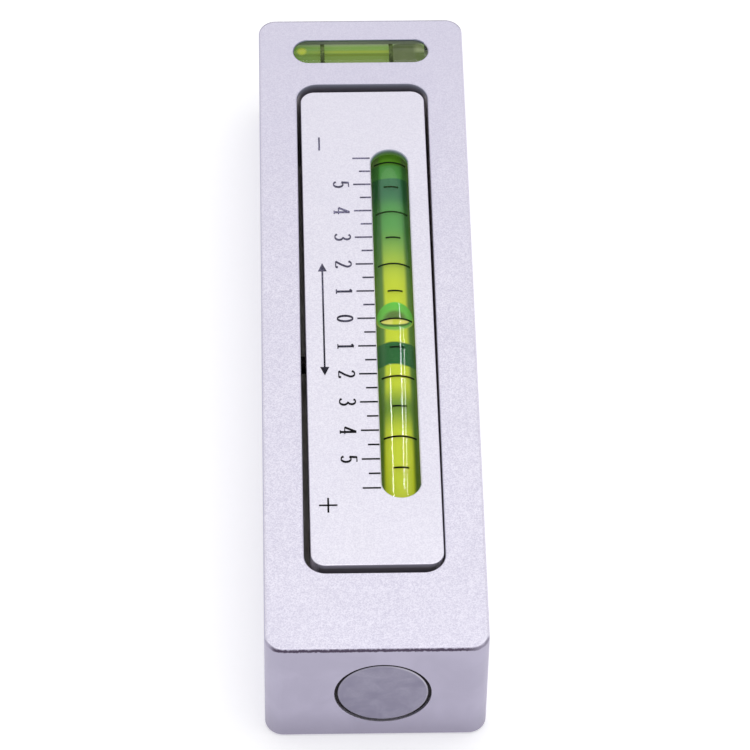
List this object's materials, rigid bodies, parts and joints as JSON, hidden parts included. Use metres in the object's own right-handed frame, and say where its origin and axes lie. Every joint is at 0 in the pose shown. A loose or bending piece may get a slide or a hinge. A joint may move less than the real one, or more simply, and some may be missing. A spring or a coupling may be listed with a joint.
{
  "type": "camber gauge",
  "caption": "Aluminium bar camber gauge with a magnet in one end, a tilting carrier with a bent bubble vial beside a degree scale, and a short cross vial.",
  "frame": {"origin": "middle of the bar's back, on its bounding box's bottom face", "axes": "+X across the bar, +Y along it away from the magnet, +Z out of the scale face"},
  "size_m": [0.03, 0.115, 0.0195],
  "materials": {
    "blasted_aluminium": "bead-blasted and clear anodised",
    "steel": "ground",
    "black_steel": "black oxide",
    "magnet_nickel": "dull nickel plate",
    "glue": "cured dark glue",
    "clear_tube": "polished",
    "liquid": "fluorescent yellow-green spirit",
    "bubble": "clear",
    "stopper": "moulded",
    "resin": "cast",
    "ring_ink": "printed",
    "scale_ink": "printed"
  },
  "bodies": {
    "bar": {"body": "blasted_aluminium", "pivot_pin": "steel", "magnet": "magnet_nickel", "magnet_glue": "glue", "cross_vial": "clear_tube", "cross_vial_plug_left": "stopper", "cross_vial_plug_right": "stopper", "cross_vial_liquid": "liquid", "cross_vial_rings": "ring_ink", "cross_vial_resin": "resin"},
    "cross_bubble": {"cross_vial_bubble": "bubble"},
    "carrier": {"carrier": "blasted_aluminium", "main_vial": "clear_tube", "main_vial_plug_far": "stopper", "main_vial_plug_near": "stopper", "main_vial_liquid": "liquid", "main_vial_rings": "ring_ink", "main_vial_resin_far": "resin", "main_vial_resin_near": "resin", "scale_lines": "scale_ink", "scale_numerals": "scale_ink", "scale_signs": "scale_ink"},
    "main_bubble": {"main_vial_bubble": "bubble"},
    "far_screw": {"zero_screw_far": "black_steel"},
    "near_screw": {"zero_screw_near": "black_steel"}
  },
  "joints": [
    {"name": "carrier_tilt", "type": "hinge", "parent": "bar", "child": "carrier", "pos_m": [0, 0, 0.009], "axis": [1, 0, 0], "range_deg": [-1, 1]},
    {"name": "main_bubble_travel", "type": "hinge", "parent": "carrier", "child": "main_bubble", "pos_m": [0.00378, 0.00002, -0.27202], "axis": [1, 0.0044, 0], "range_deg": [-5.85, 6.15], "deforming": ["main_vial_liquid"]},
    {"name": "cross_bubble_travel", "type": "slide", "parent": "bar", "child": "cross_bubble", "axis": [1, 0, 0], "range_m": [-0.0153, 0], "deforming": ["cross_vial_liquid"]},
    {"name": "far_screw_travel", "type": "slide", "parent": "bar", "child": "far_screw", "axis": [0, 0, 1], "range_m": [-0.0007, 0.0007]},
    {"name": "near_screw_travel", "type": "slide", "parent": "bar", "child": "near_screw", "axis": [0, 0, 1], "range_m": [-0.0007, 0.0007]}
  ],
  "couplings": [
    {"joint": "far_screw_travel", "follows": "carrier_tilt", "m_per_rad": 0.0395},
    {"joint": "near_screw_travel", "follows": "carrier_tilt", "m_per_rad": -0.0395}
  ]
}
